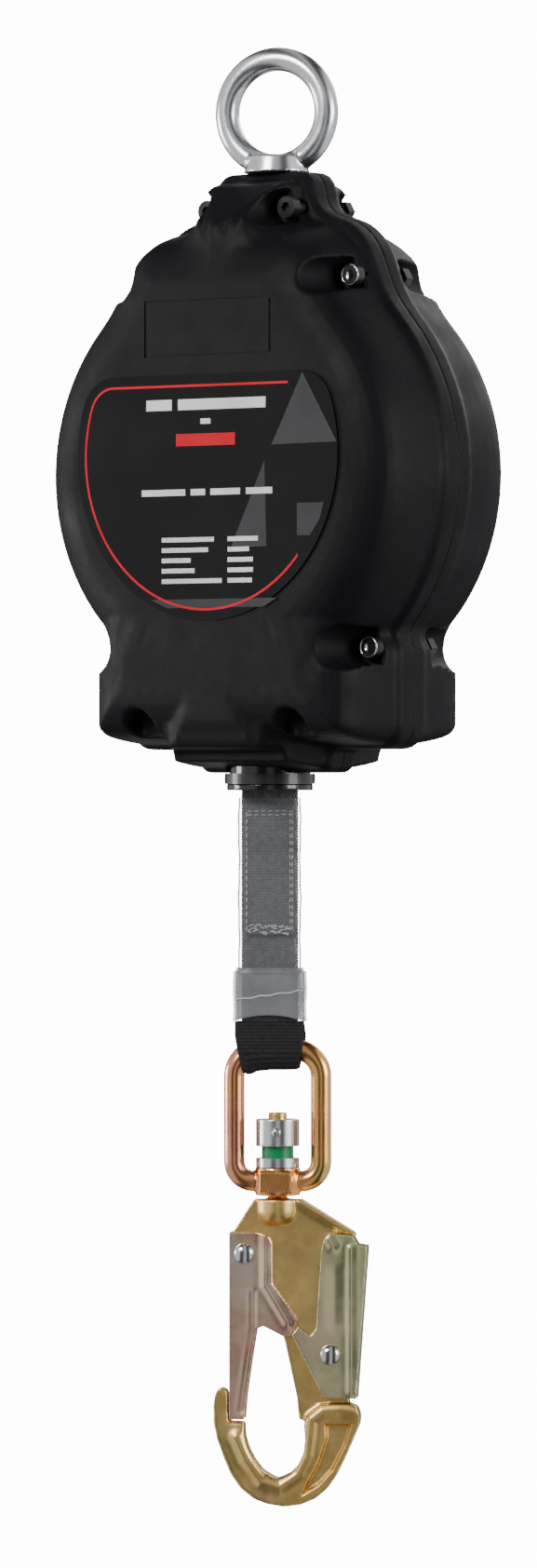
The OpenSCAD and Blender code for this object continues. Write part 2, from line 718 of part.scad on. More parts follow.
anchor_eye();
eye_thrust_washer();
eye_nut();
swivel_bush();
swivel_block();
front_shell();
rear_shell();
front_label();
label_border();
label_graphic();
id_plate();
shell_bolts();
shell_nuts();
front_plate();
rear_plate();
plate_spacers();
spacer_screws();
axle_bushes();
brake_linings();
ratchet_ring();
pressure_plate();
brake_screws();
spring_case();
retraction_spring();
guide_rollers();
exit_nozzle();
nozzle_bumper();
main_axle();
drum_core();
drum_flanges();
webbing_roll();
webbing_pin();
axle_circlips();
pawl_carrier();
spring_arbor();
pawl_pins();
pawl_a();
pawl_b();
webbing_lead();
webbing_splice();
webbing_tail();
splice_stitching();
clear_sleeve();
sleeve_cuff();
loop_protector();
swivel_frame();
hook_body();
swivel_washer();
indicator_ring();
swivel_collar();
collar_pin();
gate_rivet();
lever_rivet();
gate();
gate_spring();
lock_lever();
lever_spring();
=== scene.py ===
"""Self retracting lifeline: the looks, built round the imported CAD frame. Lengths in metres."""

import json
import math

import bmesh
import bpy
import numpy as np
from mathutils import Matrix, Vector


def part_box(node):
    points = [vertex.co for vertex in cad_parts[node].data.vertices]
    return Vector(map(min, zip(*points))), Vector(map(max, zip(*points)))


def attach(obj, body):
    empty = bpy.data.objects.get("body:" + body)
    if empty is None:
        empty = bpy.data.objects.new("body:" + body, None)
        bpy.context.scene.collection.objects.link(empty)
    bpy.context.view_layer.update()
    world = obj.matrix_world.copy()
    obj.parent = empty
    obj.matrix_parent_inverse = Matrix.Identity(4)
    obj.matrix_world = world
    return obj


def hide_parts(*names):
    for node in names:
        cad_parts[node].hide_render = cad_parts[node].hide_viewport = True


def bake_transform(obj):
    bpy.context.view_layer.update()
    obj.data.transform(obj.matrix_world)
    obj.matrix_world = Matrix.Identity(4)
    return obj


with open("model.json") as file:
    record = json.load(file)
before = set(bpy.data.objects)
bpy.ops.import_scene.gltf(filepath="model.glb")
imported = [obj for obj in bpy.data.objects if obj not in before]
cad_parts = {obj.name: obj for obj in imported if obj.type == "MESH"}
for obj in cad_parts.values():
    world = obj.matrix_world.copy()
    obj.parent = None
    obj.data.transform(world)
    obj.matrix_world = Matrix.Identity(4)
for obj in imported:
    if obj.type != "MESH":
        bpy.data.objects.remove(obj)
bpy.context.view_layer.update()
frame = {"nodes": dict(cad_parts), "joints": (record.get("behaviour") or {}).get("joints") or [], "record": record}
MM = 0.001

# ---------------------------------------------------------------- places, from the frame

roll_low, roll_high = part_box("webbing_roll")
nozzle_low, nozzle_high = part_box("exit_nozzle")
collar_low, collar_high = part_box("swivel_collar")

JOINT = {j["name"]: j for j in frame["joints"]}
DRUM = (roll_low + roll_high) / 2
LINE = Vector(((nozzle_low.x + nozzle_high.x) / 2, (nozzle_low.y + nozzle_high.y) / 2, 0))
HOOK = (collar_low + collar_high) / 2
HOOK.z = 0
ACROSS = Vector(JOINT["frame_swing"]["axis"])
TURN = math.atan2(ACROSS.y, ACROSS.x)
BAR_Z = JOINT["frame_swing"]["pos_m"][2]
GATE_DROP = 22      # the gate's rivet lies this far under the hook's top, in mm
HOOK_TOP = JOINT["gate_open"]["pos_m"][2] + GATE_DROP * MM


def hung(base):
    """The matrix that takes the hanging group's own axes at base to the row frame."""
    return Matrix.Translation(base) @ Matrix.Rotation(TURN, 4, "Z")


# ---------------------------------------------------------------- camera and light

AZIMUTH = math.radians(38)
DISTANCE = 3.3
SENSOR_HEIGHT = 24
VIEW_HEIGHT = 0.64
VIEW_Z = -0.274
VIEW_SIDE = -0.0034
LAMP_AIM = Vector((0, 0, -0.25))

# Brightness along the studio wall, from one side of the view round to the other.
BANDS = [(0.0, 0.9), (0.16, 1.0), (0.24, 0.10), (0.40, 0.12), (0.47, 0.78), (0.55, 0.70), (0.63, 0.10),
         (0.78, 0.08), (0.84, 1.1), (1.0, 1.0)]
BAND_STRENGTH = 0.75
GROUND_STRENGTH = 14


def make_camera():
    data = bpy.data.cameras.new("camera")
    data.sensor_fit = "VERTICAL"
    data.sensor_height = SENSOR_HEIGHT
    data.lens = data.sensor_height * DISTANCE / VIEW_HEIGHT
    camera = bpy.data.objects.new("camera", data)
    bpy.context.scene.collection.objects.link(camera)
    back = Vector((math.sin(AZIMUTH), -math.cos(AZIMUTH), 0))
    side = Vector((math.cos(AZIMUTH), math.sin(AZIMUTH), 0))
    camera.location = back * DISTANCE + side * VIEW_SIDE + Vector((0, 0, VIEW_Z))
    camera.rotation_euler = (math.pi / 2, 0, AZIMUTH)
    bpy.context.scene.camera = camera


def area_light(name, azimuth, height, distance, size, power):
    data = bpy.data.lights.new(name, "AREA")
    data.size = size
    data.energy = power
    lamp = bpy.data.objects.new(name, data)
    bpy.context.scene.collection.objects.link(lamp)
    a = math.radians(azimuth)
    lamp.location = (distance * math.sin(a), -distance * math.cos(a), height)
    lamp.rotation_euler = (LAMP_AIM - lamp.location).to_track_quat("-Z", "Y").to_euler()


def make_studio():
    """Soft bright and dark upright bands for the metal to mirror, before a plain white ground."""
    world = bpy.data.worlds.new("studio")
    world.use_nodes = True
    tree = world.node_tree
    coords = tree.nodes.new("ShaderNodeTexCoord")
    turned = tree.nodes.new("ShaderNodeMapping")
    turned.inputs["Rotation"].default_value = (0, 0, -AZIMUTH)
    parts = tree.nodes.new("ShaderNodeSeparateXYZ")
    spread = tree.nodes.new("ShaderNodeMapRange")
    spread.inputs["From Min"].default_value = -1
    bands = tree.nodes.new("ShaderNodeValToRGB")
    while len(bands.color_ramp.elements) < len(BANDS):
        bands.color_ramp.elements.new(0.5)
    for element, (place, level) in zip(bands.color_ramp.elements, BANDS):
        element.position = place
        element.color = (level * 0.97, level * 0.98, level, 1)
    background = tree.nodes["Background"]
    background.inputs["Strength"].default_value = BAND_STRENGTH
    ground = tree.nodes.new("ShaderNodeBackground")
    ground.inputs["Color"].default_value = (1, 1, 1, 1)
    ground.inputs["Strength"].default_value = GROUND_STRENGTH
    choice = tree.nodes.new("ShaderNodeMixShader")
    rays = tree.nodes.new("ShaderNodeLightPath")
    tree.links.new(rays.outputs["Is Camera Ray"], choice.inputs[0])
    tree.links.new(background.outputs["Background"], choice.inputs[1])
    tree.links.new(ground.outputs["Background"], choice.inputs[2])
    tree.links.new(choice.outputs["Shader"], tree.nodes["World Output"].inputs["Surface"])
    tree.links.new(coords.outputs["Generated"], turned.inputs["Vector"])
    tree.links.new(turned.outputs["Vector"], parts.inputs["Vector"])
    tree.links.new(parts.outputs["X"], spread.inputs["Value"])
    tree.links.new(spread.outputs["Result"], bands.inputs["Fac"])
    tree.links.new(bands.outputs["Color"], background.inputs["Color"])
    bpy.context.scene.world = world


def make_lights():
    area_light("key", 0, 1.0, 2.2, 0.9, 42)
    area_light("fill", 100, 0.1, 2.2, 1.0, 26)
    area_light("left_strip", -62, -0.2, 2.2, 0.7, 20)
    area_light("rim", 185, 0.9, 2.4, 1.2, 16)
    make_studio()


# ---------------------------------------------------------------- materials

class Paint:
    """A principled material with a few short helpers for its procedural nodes."""

    def __init__(self, name, colour, roughness, metal=0.0):
        self.material = bpy.data.materials.new(name)
        self.material.use_nodes = True
        self.tree = self.material.node_tree
        self.shader = self.tree.nodes["Principled BSDF"]
        self.set("Base Color", (*colour, 1))
        self.set("Roughness", roughness)
        self.set("Metallic", metal)
        self.coords = self.tree.nodes.new("ShaderNodeTexCoord").outputs["Object"]

    def set(self, socket, value):
        self.shader.inputs[socket].default_value = value
        return self

    def node(self, kind, **inputs):
        made = self.tree.nodes.new(kind)
        for key, value in inputs.items():
            socket = made.inputs[key.replace("_", " ")]
            if isinstance(value, bpy.types.NodeSocket):
                self.tree.links.new(value, socket)
            else:
                socket.default_value = value
        return made

    def link(self, output, socket):
        self.tree.links.new(output, self.shader.inputs[socket])
        return self

    def noise(self, scale, detail=3):
        made = self.node("ShaderNodeTexNoise", Vector=self.coords, Scale=scale, Detail=detail)
        return made.outputs["Fac"]

    def cells(self, scale):
        return self.node("ShaderNodeTexVoronoi", Vector=self.coords, Scale=scale).outputs["Distance"]

    def ramp(self, value, stops):
        made = self.node("ShaderNodeValToRGB", Fac=value)
        elements = made.color_ramp.elements
        while len(elements) < len(stops):
            elements.new(0.5)
        for element, (place, colour) in zip(elements, stops):
            element.position = place
            element.color = (*colour, 1)
        return made.outputs["Color"]

    def range(self, value, low, high, out_low, out_high):
        made = self.tree.nodes.new("ShaderNodeMapRange")
        self.tree.links.new(value, made.inputs["Value"])
        limits = {"From Min": low, "From Max": high, "To Min": out_low, "To Max": out_high}
        for key, number in limits.items():
            made.inputs[key].default_value = number
        return made.outputs["Result"]

    def math(self, operation, a, b=0.0):
        made = self.tree.nodes.new("ShaderNodeMath")
        made.operation = operation
        for socket, value in zip(made.inputs, (a, b)):
            if isinstance(value, bpy.types.NodeSocket):
                self.tree.links.new(value, socket)
            else:
                socket.default_value = value
        return made.outputs["Value"]

    def bump(self, height, strength, distance):
        made = self.node("ShaderNodeBump", Height=height, Strength=strength, Distance=distance)
        if hasattr(self, "last_bump"):
            self.tree.links.new(self.last_bump, made.inputs["Normal"])
        self.last_bump = made.outputs["Normal"]
        return self.link(self.last_bump, "Normal")


def moulded_plastic():
    """Near-black polyamide with a spark-eroded texture and slight rubbing marks."""
    p = Paint("casing_plastic", (0.004, 0.004, 0.005), 0.5)
    cloud = p.noise(14, 4)
    p.link(p.ramp(cloud, [(0.35, (0.003, 0.003, 0.004)), (0.7, (0.005, 0.005, 0.0065))]), "Base Color")
    p.link(p.range(p.noise(60, 4), 0.3, 0.7, 0.46, 0.60), "Roughness")
    p.bump(p.cells(2600), 0.28, 0.00012)
    p.bump(p.noise(900, 3), 0.2, 0.0001)
    p.set("Specular IOR Level", 0.15)
    return p.material


def film(name, colour, roughness=0.16):
    """Printed self-adhesive film, with the faintest ripple."""
    p = Paint(name, colour, roughness)
    low = tuple(c * 0.9 for c in colour)
    high = tuple(min(1, c * 1.06) for c in colour)
    p.link(p.ramp(p.noise(40, 3), [(0.4, low), (0.6, high)]), "Base Color")
    p.link(p.range(p.noise(25, 2), 0.3, 0.7, roughness * 0.8, roughness * 1.3), "Roughness")
    p.bump(p.noise(70, 2), 0.06, 0.0004)
    p.set("Specular IOR Level", 0.25)
    p.set("Coat Weight", 0.12)
    p.set("Coat Roughness", 0.1)
    return p.material


FLECK_SHARE = 0.22
WEFT_SHARE = 0.5


def zinc(name, stops, roughness, scale=22):
    """Plated steel: passivation colours drift across it, over a fine cast or rolled texture."""
    p = Paint(name, stops[0][1], roughness, 1.0)
    drift = p.noise(scale, 2)
    fleck = p.noise(scale * 14, 3)
    drift_part = p.math("MULTIPLY", drift, 1 - FLECK_SHARE)
    fleck_part = p.math("MULTIPLY", fleck, FLECK_SHARE)
    p.link(p.ramp(p.math("ADD", drift_part, fleck_part), stops), "Base Color")
    p.link(p.range(p.noise(scale * 4, 4), 0.3, 0.7, roughness * 0.8, roughness * 1.25), "Roughness")
    p.bump(p.noise(1300, 3), 0.09, 0.00006)
    p.bump(p.noise(160, 2), 0.05, 0.0002)
    return p.material


def weave(name, dark, light, pitch, sheen=0.35):
    """Woven polyester: warp and weft ribs from two crossed waves in the strap's own axes."""
    p = Paint(name, dark, 0.85)
    across = p.node("ShaderNodeMapping", Vector=p.coords)
    across.inputs["Rotation"].default_value = (0, 0, -TURN)
    parts = p.node("ShaderNodeSeparateXYZ", Vector=across.outputs["Vector"])
    turn = 2 * math.pi / pitch
    warp = p.math("SINE", p.math("MULTIPLY", parts.outputs["X"], turn))
    weft = p.math("SINE", p.math("MULTIPLY", parts.outputs["Z"], turn * WEFT_SHARE))
    cloth = p.math("MULTIPLY", warp, weft)
    tone = p.math("ADD", p.math("MULTIPLY", cloth, 0.30), p.noise(420, 3))
    p.link(p.ramp(tone, [(0.25, dark), (0.85, light)]), "Base Color")
    p.bump(cloth, 0.5, 0.0003)
    p.bump(p.noise(2500, 2), 0.25, 0.0001)
    p.set("Sheen Weight", sheen)
    p.set("Sheen Roughness", 0.5)
    return p.material


def clear_film(name, alpha):
    """Slightly milky flexible tube, light at its edges."""
    p = Paint(name, (0.24, 0.245, 0.26), 0.22)
    p.set("Alpha", alpha)
    p.set("IOR", 1.42)
    p.link(p.ramp(p.noise(55, 3), [(0.3, (0.18, 0.185, 0.20)), (0.7, (0.28, 0.285, 0.30))]), "Base Color")
    p.link(p.range(p.noise(120, 3), 0.3, 0.7, 0.16, 0.34), "Roughness")
    p.bump(p.noise(90, 3), 0.25, 0.0006)
    p.set("Coat Weight", 0.4)
    return p.material


def black_gloss(name, roughness):
    """Smooth black moulding, for the nozzle and the rubber bumper."""
    p = Paint(name, (0.010, 0.010, 0.012), roughness)
    tones = [(0.3, (0.008, 0.008, 0.009)), (0.7, (0.015, 0.015, 0.017))]
    p.link(p.ramp(p.noise(80, 3), tones), "Base Color")
    p.link(p.range(p.noise(140, 3), 0.3, 0.7, roughness * 0.8, roughness * 1.5), "Roughness")
    p.bump(p.noise(260, 2), 0.05, 0.0002)
    p.set("Coat Weight", 0.3)
    return p.material


def plain(name, low, high, roughness, metal=0.0, grain=400):
    """A drifting two-tone finish for small and inner parts."""
    p = Paint(name, low, roughness, metal)
    p.link(p.ramp(p.noise(grain * 0.2, 3), [(0.35, low), (0.65, high)]), "Base Color")
    p.link(p.range(p.noise(grain, 3), 0.3, 0.7, roughness * 0.85, roughness * 1.2), "Roughness")
    p.bump(p.noise(grain * 3, 2), 0.12, 0.0001)
    return p.material


GOLD = [(0.30, (0.56, 0.54, 0.22)), (0.44, (0.86, 0.60, 0.22)), (0.53, (0.76, 0.50, 0.16)),
        (0.62, (0.93, 0.66, 0.30)), (0.74, (0.86, 0.48, 0.32))]
PINK = [(0.30, (0.80, 0.70, 0.44)), (0.45, (0.95, 0.66, 0.48)), (0.56, (0.90, 0.54, 0.42)),
        (0.66, (0.95, 0.74, 0.52)), (0.78, (0.80, 0.66, 0.66))]
GREENISH = [(0.30, (0.62, 0.66, 0.34)), (0.45, (0.84, 0.78, 0.46)), (0.56, (0.88, 0.70, 0.48)),
            (0.68, (0.74, 0.76, 0.42)), (0.80, (0.72, 0.64, 0.56))]
ORANGE = [(0.30, (0.66, 0.52, 0.18)), (0.44, (0.94, 0.46, 0.15)), (0.54, (0.88, 0.34, 0.22)),
          (0.64, (0.95, 0.56, 0.22)), (0.76, (0.74, 0.34, 0.34))]
SILVER = [(0.3, (0.62, 0.63, 0.65)), (0.5, (0.74, 0.75, 0.77)), (0.7, (0.66, 0.67, 0.70))]

MATERIAL = {
    "casing_plastic": moulded_plastic(),
    "label_print": film("label_print", (0.0015, 0.0015, 0.0018)),
    "label_red": film("label_red", (0.66, 0.008, 0.02)),
    "label_grey": film("label_grey", (0.050, 0.050, 0.053)),
    "label_white": film("label_white", (0.78, 0.78, 0.78), 0.3),
    "zinc": zinc("zinc", SILVER, 0.25),
    "yellow_zinc": zinc("yellow_zinc", GOLD, 0.33),
    "pink_zinc": zinc("pink_zinc", PINK, 0.27, scale=18),
    "orange_zinc": zinc("orange_zinc", ORANGE, 0.22, scale=24),
    "green_zinc": zinc("green_zinc", GREENISH, 0.28, scale=18),
    "rivet_steel": zinc("rivet_steel", SILVER, 0.16),
    "black_bolt": plain("black_bolt", (0.03, 0.03, 0.032), (0.08, 0.08, 0.085), 0.35, 0.8),
    "black_gloss": black_gloss("black_gloss", 0.14),
    "rubber": black_gloss("rubber", 0.30),
    "bronze": plain("bronze", (0.48, 0.30, 0.13), (0.62, 0.42, 0.20), 0.4, 1.0),
    "lining": plain("lining", (0.10, 0.08, 0.06), (0.20, 0.16, 0.12), 0.8),
    "drum_plastic": plain("drum_plastic", (0.06, 0.06, 0.065), (0.10, 0.10, 0.11), 0.55),
    "webbing": weave("webbing", (0.055, 0.055, 0.06), (0.17, 0.17, 0.18), 0.0011),
    "thread": plain("thread", (0.60, 0.60, 0.58), (0.78, 0.78, 0.76), 0.8),
    "sleeve": clear_film("clear_film", 0.16),
    # light grey for the film's edges: a painted highlight where clear film shows a bright outline
    "sleeve_edge_highlight": plain("sleeve_edge_highlight", (0.55, 0.56, 0.58), (0.68, 0.69, 0.70), 0.35),
    "cuff_film": clear_film("cuff_film", 0.7),
    "black_webbing": weave("black_webbing", (0.002, 0.002, 0.003), (0.012, 0.012, 0.014), 0.0013, 0.05),
    "green_plastic": plain("green_plastic", (0.0, 0.20, 0.055), (0.0, 0.27, 0.08), 0.35),
    "spring_steel": plain("spring_steel", (0.45, 0.45, 0.46), (0.60, 0.60, 0.61), 0.3, 1.0),
}

DARKER = {"shell_nuts": "black_bolt"}


def paint_frame():
    """Every CAD node takes the procedural material of its record slot."""
    slots = {s["node"]: s["material_slot"] for s in frame["record"]["subparts"]}
    for name, node in frame["nodes"].items():
        node.data.materials.clear()
        node.data.materials.append(MATERIAL[DARKER.get(name, slots[name])])


# ---------------------------------------------------------------- mesh helpers

def outward(mesh):
    work = bmesh.new()
    work.from_mesh(mesh)
    bmesh.ops.recalc_face_normals(work, faces=work.faces)
    work.to_mesh(mesh)
    work.free()


def mesh_object(name, points, faces, material=None):
    mesh = bpy.data.meshes.new(name)
    mesh.from_pydata([tuple(p) for p in points], [], faces)
    outward(mesh)
    mesh.shade_smooth()
    if material:
        mesh.materials.append(MATERIAL[material])
    obj = bpy.data.objects.new(name, mesh)
    bpy.context.scene.collection.objects.link(obj)
    return obj


def modify(obj, kind, **settings):
    made = obj.modifiers.new(kind.lower(), kind)
    for key, value in settings.items():
        setattr(made, key, value)


def bake(obj):
    """Applies the object's modifiers to a mesh of its own."""
    bpy.context.view_layer.update()
    graph = bpy.context.evaluated_depsgraph_get()
    mesh = bpy.data.meshes.new_from_object(obj.evaluated_get(graph))
    obj.modifiers.clear()
    obj.data = mesh


def reshape(obj, move):
    """Passes the vertices, as an N by 3 array in metres, through move."""
    count = len(obj.data.vertices)
    points = np.zeros(count * 3)
    obj.data.vertices.foreach_get("co", points)
    points = np.array(move(points.reshape(-1, 3)))
    obj.data.vertices.foreach_set("co", points.reshape(-1))
    obj.data.update()


def rings_object(name, rings, material=None, closed=False):
    """Skins a list of equal closed rings of points, with a cap at each end unless closed."""
    count = len(rings[0])
    points = [p for ring in rings for p in ring]
    faces = []
    last = len(rings) if closed else len(rings) - 1
    for i in range(last):
        a, b = i * count, ((i + 1) % len(rings)) * count
        for j in range(count):
            k = (j + 1) % count
            faces.append((a + j, a + k, b + k, b + j))
    if not closed:
        faces.append(tuple(range(count)))
        faces.append(tuple(range(len(points) - count, len(points))))
    return mesh_object(name, points, faces, material)


def lathe(name, base, axis, stations, material=None, sides=48):
    """A solid of revolution: stations are (distance along the axis, radius)."""
    axis = Vector(axis).normalized()
    side = axis.orthogonal().normalized()
    other = axis.cross(side)
    rings = []
    for along, radius in stations:
        ring = []
        for i in range(sides):
            a = 2 * math.pi * i / sides
            ring.append(Vector(base) + axis * along + (side * math.cos(a) + other * math.sin(a)) * radius)
        rings.append(ring)
    return rings_object(name, rings, material)


def block(name, low, high, material=None):
    corners = [(x, y, z) for x in (low[0], high[0]) for y in (low[1], high[1]) for z in (low[2], high[2])]
    faces = [(0, 1, 3, 2), (4, 6, 7, 5), (0, 4, 5, 1), (2, 3, 7, 6), (0, 2, 6, 4), (1, 5, 7, 3)]
    made = mesh_object(name, corners, faces, material)
    made.data.shade_flat()
    return made


def cut(obj, cutters):
    group = bpy.data.collections.new("cutters")
    for cutter in cutters:
        group.objects.link(cutter)
    modify(obj, "BOOLEAN", operation="DIFFERENCE", operand_type="COLLECTION", collection=group,
           solver="EXACT")
    bake(obj)
    for cutter in cutters:
        bpy.data.objects.remove(cutter)
    bpy.data.collections.remove(group)
    return obj


def soften(obj, voxel, passes, keep=1.0):
    """Voxel remesh, smoothing and thinning, which rounds every edge like a cast or moulded part."""
    modify(obj, "REMESH", mode="VOXEL", voxel_size=voxel * MM, use_smooth_shade=True)
    modify(obj, "SMOOTH", factor=0.5, iterations=passes)
    if keep < 1:
        modify(obj, "DECIMATE", ratio=keep)
    bake(obj)
    obj.data.shade_smooth()


def dress(obj, body, material, *nodes):
    """Gives the piece its material and its body, and hides the CAD nodes it stands for."""
    obj.data.materials.clear()
    obj.data.materials.append(MATERIAL[material])
    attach(obj, body)
    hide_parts(*nodes)


LOW_FADE = 3 * MM
LOW_PASSES = 26


def round_below(obj, height):
    """Smooths only what lies under that height, so that a flat forging turns into a round bar."""
    group = obj.vertex_groups.new(name="low")
    for vertex in obj.data.vertices:
        weight = (height - vertex.co.z) / LOW_FADE
        if weight > 0:
            group.add([vertex.index], min(1.0, weight), "REPLACE")
    modify(obj, "SMOOTH", factor=0.5, iterations=LOW_PASSES, vertex_group="low")
    bake(obj)


def forged(node, body, material, voxel, passes, move=None, low=None):
    """A softened copy of a CAD node, reshaped by move and rounded off under the height low."""
    obj = bpy.data.objects.new("look_" + node, frame["nodes"][node].data.copy())
    bpy.context.scene.collection.objects.link(obj)
    soften(obj, voxel, passes)
    if low:
        round_below(obj, low)
    if move:
        reshape(obj, move)
    obj.data.shade_smooth()
    dress(obj, body, material, node)


# ---------------------------------------------------------------- casing

# All in mm, with z measured from the frame's origin, which is the middle of the anchor eye.
DRUM_Z = DRUM.z / MM
RAYS = 640
RAY_LIMIT = 170
HALVINGS = 32
RADIUS = 93
FACE_INSET = 28
HALF_DEPTH = 46
SEAM_HEIGHTS = (-0.7, 4, 7.4)

# The casing's side as (inset from the outline, half depth), from the rib at the seam to the flat front.
SIDE = [(1.9, 10.4), (2.7, 18), (3.6, 25), (4.6, 31), (5.7, 35), (7.6, 38.6), (10.5, 41.4), (14, 43.4),
        (18, 44.9), (23, 45.8), (28, 46)]


def soft_min(a, b, k):
    """The lesser of a and b, blended where they come within k of each other."""
    h = np.maximum(k - np.abs(a - b), 0) / k
    return np.minimum(a, b) - h * h * k / 4


def box_distance(x, z, centre_z, half_x, half_z, corner):
    """Signed distance from a rounded rectangle on the middle line."""
    across = np.abs(x) - half_x + corner
    up = np.abs(z - centre_z) - half_z + corner
    outside = np.hypot(np.maximum(across, 0), np.maximum(up, 0))
    return outside + np.minimum(np.maximum(across, up), 0) - corner


def outline(x, z):
    """Signed distance from the casing's outline, in mm, positive outside."""
    body = np.hypot(x, z - DRUM_Z) - RADIUS
    body = soft_min(body, box_distance(x, z, -80, 56, 36, 25), 14)
    body = soft_min(body, box_distance(x, z, -57, 25, 32, 8), 14)
    body = soft_min(body, box_distance(x, z, -236, 70, 24, 10), 6)
    return soft_min(body, box_distance(x, z, -255, 34, 14.5, 5), 4)


def inner_outline(x, z):
    """The outline with its blocks run on inward, so that no seam shows between them on the front."""
    body = outline(x, z)
    body = np.minimum(body, box_distance(x, z, -225, 70, 35, 10) + 3)
    body = np.minimum(body, box_distance(x, z, -219, 34, 50, 5) + 2)
    body = np.minimum(body, box_distance(x, z, -85, 25, 60, 8) + 2)
    return np.minimum(body, box_distance(x, z, -110, 56, 66, 30) + 2)


def casing_depth(inset, z):
    """Half the casing's depth at that inset and height, in mm."""
    insets = [p[0] for p in SIDE]
    depths = [p[1] for p in SIDE]
    slope = 1 + 0.85 * np.clip((z + 76) / 20, 0, 1)
    depth = np.interp(inset / slope, insets, depths)
    head = 14 + np.maximum(-25.5 - z, 0) * 1.25
    crease = HALF_DEPTH - np.maximum(-234.5 - z, 0) * 0.06
    lip = np.clip(31.0 + (z + 260.5) * 12, 31.0, 60.0)
    return soft_min(soft_min(depth, head, 3), soft_min(crease, lip, 2), 0.5)


def ray_radius(inset, angles):
    """How far out from the drum's axis each ray meets the outline moved in by inset."""
    field = outline if inset < 2 else inner_outline
    low = np.zeros(len(angles))
    high = np.full(len(angles), float(RAY_LIMIT))
    for _ in range(HALVINGS):
        middle = (low + high) / 2
        inside = field(middle * np.sin(angles), DRUM_Z + middle * np.cos(angles)) < -inset
        low = np.where(inside, middle, low)
        high = np.where(inside, high, middle)
    return low


def smooth_profile():
    """Insets of the rings, closer together where the side turns into the front."""
    insets = []
    for a, b in zip(SIDE, SIDE[1:]):
        insets += [a[0] + (b[0] - a[0]) * i / 3 for i in range(3)]
    return insets + [FACE_INSET]


def shell_blank():
    """The front half as a solid, without its recesses or its hollow."""
    angles = np.linspace(0, 2 * math.pi, RAYS, endpoint=False)
    rings = []
    rim = ray_radius(0, angles)

    def ring(radius, depth):
        x = radius * np.sin(angles)
        z = DRUM_Z + radius * np.cos(angles)
        return [(x[i] * MM, -float(depth[i]) * MM, z[i] * MM) for i in range(len(angles))]

    for depth in SEAM_HEIGHTS:
        rings.append(ring(rim, np.full(RAYS, float(depth))))
    for inset in smooth_profile():
        radius = ray_radius(inset, angles)
        rings.append(ring(radius, casing_depth(inset, DRUM_Z + radius * np.cos(angles))))
    inner = ray_radius(FACE_INSET, angles)
    for share in (0.92, 0.84, 0.75, 0.65, 0.5, 0.3, 0.1):
        radius = inner * share
        x, z = radius * np.sin(angles), DRUM_Z + radius * np.cos(angles)
        rings.append(ring(radius, casing_depth(-inner_outline(x, z), z)))
    return rings_object("look_front_shell", rings)


# Recesses for the bolts: x, z, radius, depth of the floor and how much the mouth flares.
POCKETS = [(51.5, -69, 7.5, 14, 3), (62.5, -219, 8, 16, 3), (20.5, -40.5, 7.5, 16, 5.5)]
POCKET_WALL = 24
BOLT_HOLE = [(-5, 2.9), (30, 2.9)]
SCOOP_X, SCOOP_Z = 39, -251
SCOOP = [(31, 6), (33, 7), (60, 9)]


TO_FRONT = (0, -1, 0)
DOWN = (0, 0, -1)


def in_metres(stations):
    return [(along * MM, radius * MM) for along, radius in stations]


def room(name, half_x, front_y, low_z, high_z):
    """A box-shaped hollow, open to the rear half."""
    return block(name, (-half_x * MM, front_y * MM, low_z * MM), (half_x * MM, 1 * MM, high_z * MM))


def pocket_cutters():
    cutters = []
    for side in (-1, 1):
        for x, z, radius, floor, flare in POCKETS:
            base = (side * x * MM, 0, z * MM)
            mouth = [(floor, radius), (POCKET_WALL, radius), (60, radius + flare)]
            cutters.append(lathe("pocket", base, TO_FRONT, in_metres(mouth)))
            cutters.append(lathe("bolt_hole", base, TO_FRONT, in_metres(BOLT_HOLE)))
        base = (side * SCOOP_X * MM, 0, SCOOP_Z * MM)
        cutters.append(lathe("scoop", base, TO_FRONT, in_metres(SCOOP)))
    return cutters


def hollow_cutters():
    """The room for the drum, the swivel block and the webbing, and the holes at both ends."""
    ring = in_metres([(-1, 84), (31, 84), (37, 80), (41, 73), (43, 64)])
    drum_room = lathe("drum_room", (0, 0, DRUM.z), TO_FRONT, ring, sides=96)
    head = room("head_room", 11.2, -12, -90, -48)
    neck = room("neck_room", 14, -22.6, -90, -60)
    base = room("base_room", 30, -23.5, -262, -192)
    shank = lathe("shank_hole", (0, 0, 0), DOWN, in_metres([(20, 6.6), (40, 6.6)]))
    nozzle = lathe("nozzle_hole", LINE, DOWN, in_metres([(255, 16.5), (275, 16.5)]))
    return [drum_room, head, neck, base, shank, nozzle]


SHARP_ANGLE = math.radians(50)


def make_casing():
    front = cut(shell_blank(), pocket_cutters() + hollow_cutters())
    soften(front, 0.9, 5, 0.5)
    rear = bpy.data.objects.new("look_rear_shell", front.data.copy())
    bpy.context.scene.collection.objects.link(rear)
    reshape(rear, lambda p: p * np.array([1, -1, 1]))
    rear.data.flip_normals()
    recess = block("id_recess", (-32.5 * MM, -47 * MM, -101 * MM), (32.5 * MM, -45.4 * MM, -78 * MM))
    cut(front, [recess])
    for shell in (front, rear):
        shell.data.shade_smooth()
        shell.data.set_sharp_from_angle(angle=SHARP_ANGLE)
    dress(front, "casing", "casing_plastic", "front_shell")
    dress(rear, "casing", "casing_plastic", "rear_shell")


# Distance out from the bolt's head and radius, in metres, of the bright steel ring painted round each bolt head's
# rim as its highlight.
BOLT_HIGHLIGHT_RING = [(0, 0.00443), (0.00055, 0.00445), (0.0007, 0.0041), (0.0007, 0.0037), (0.0003, 0.0036)]
BOLT_HEAD = 4.0


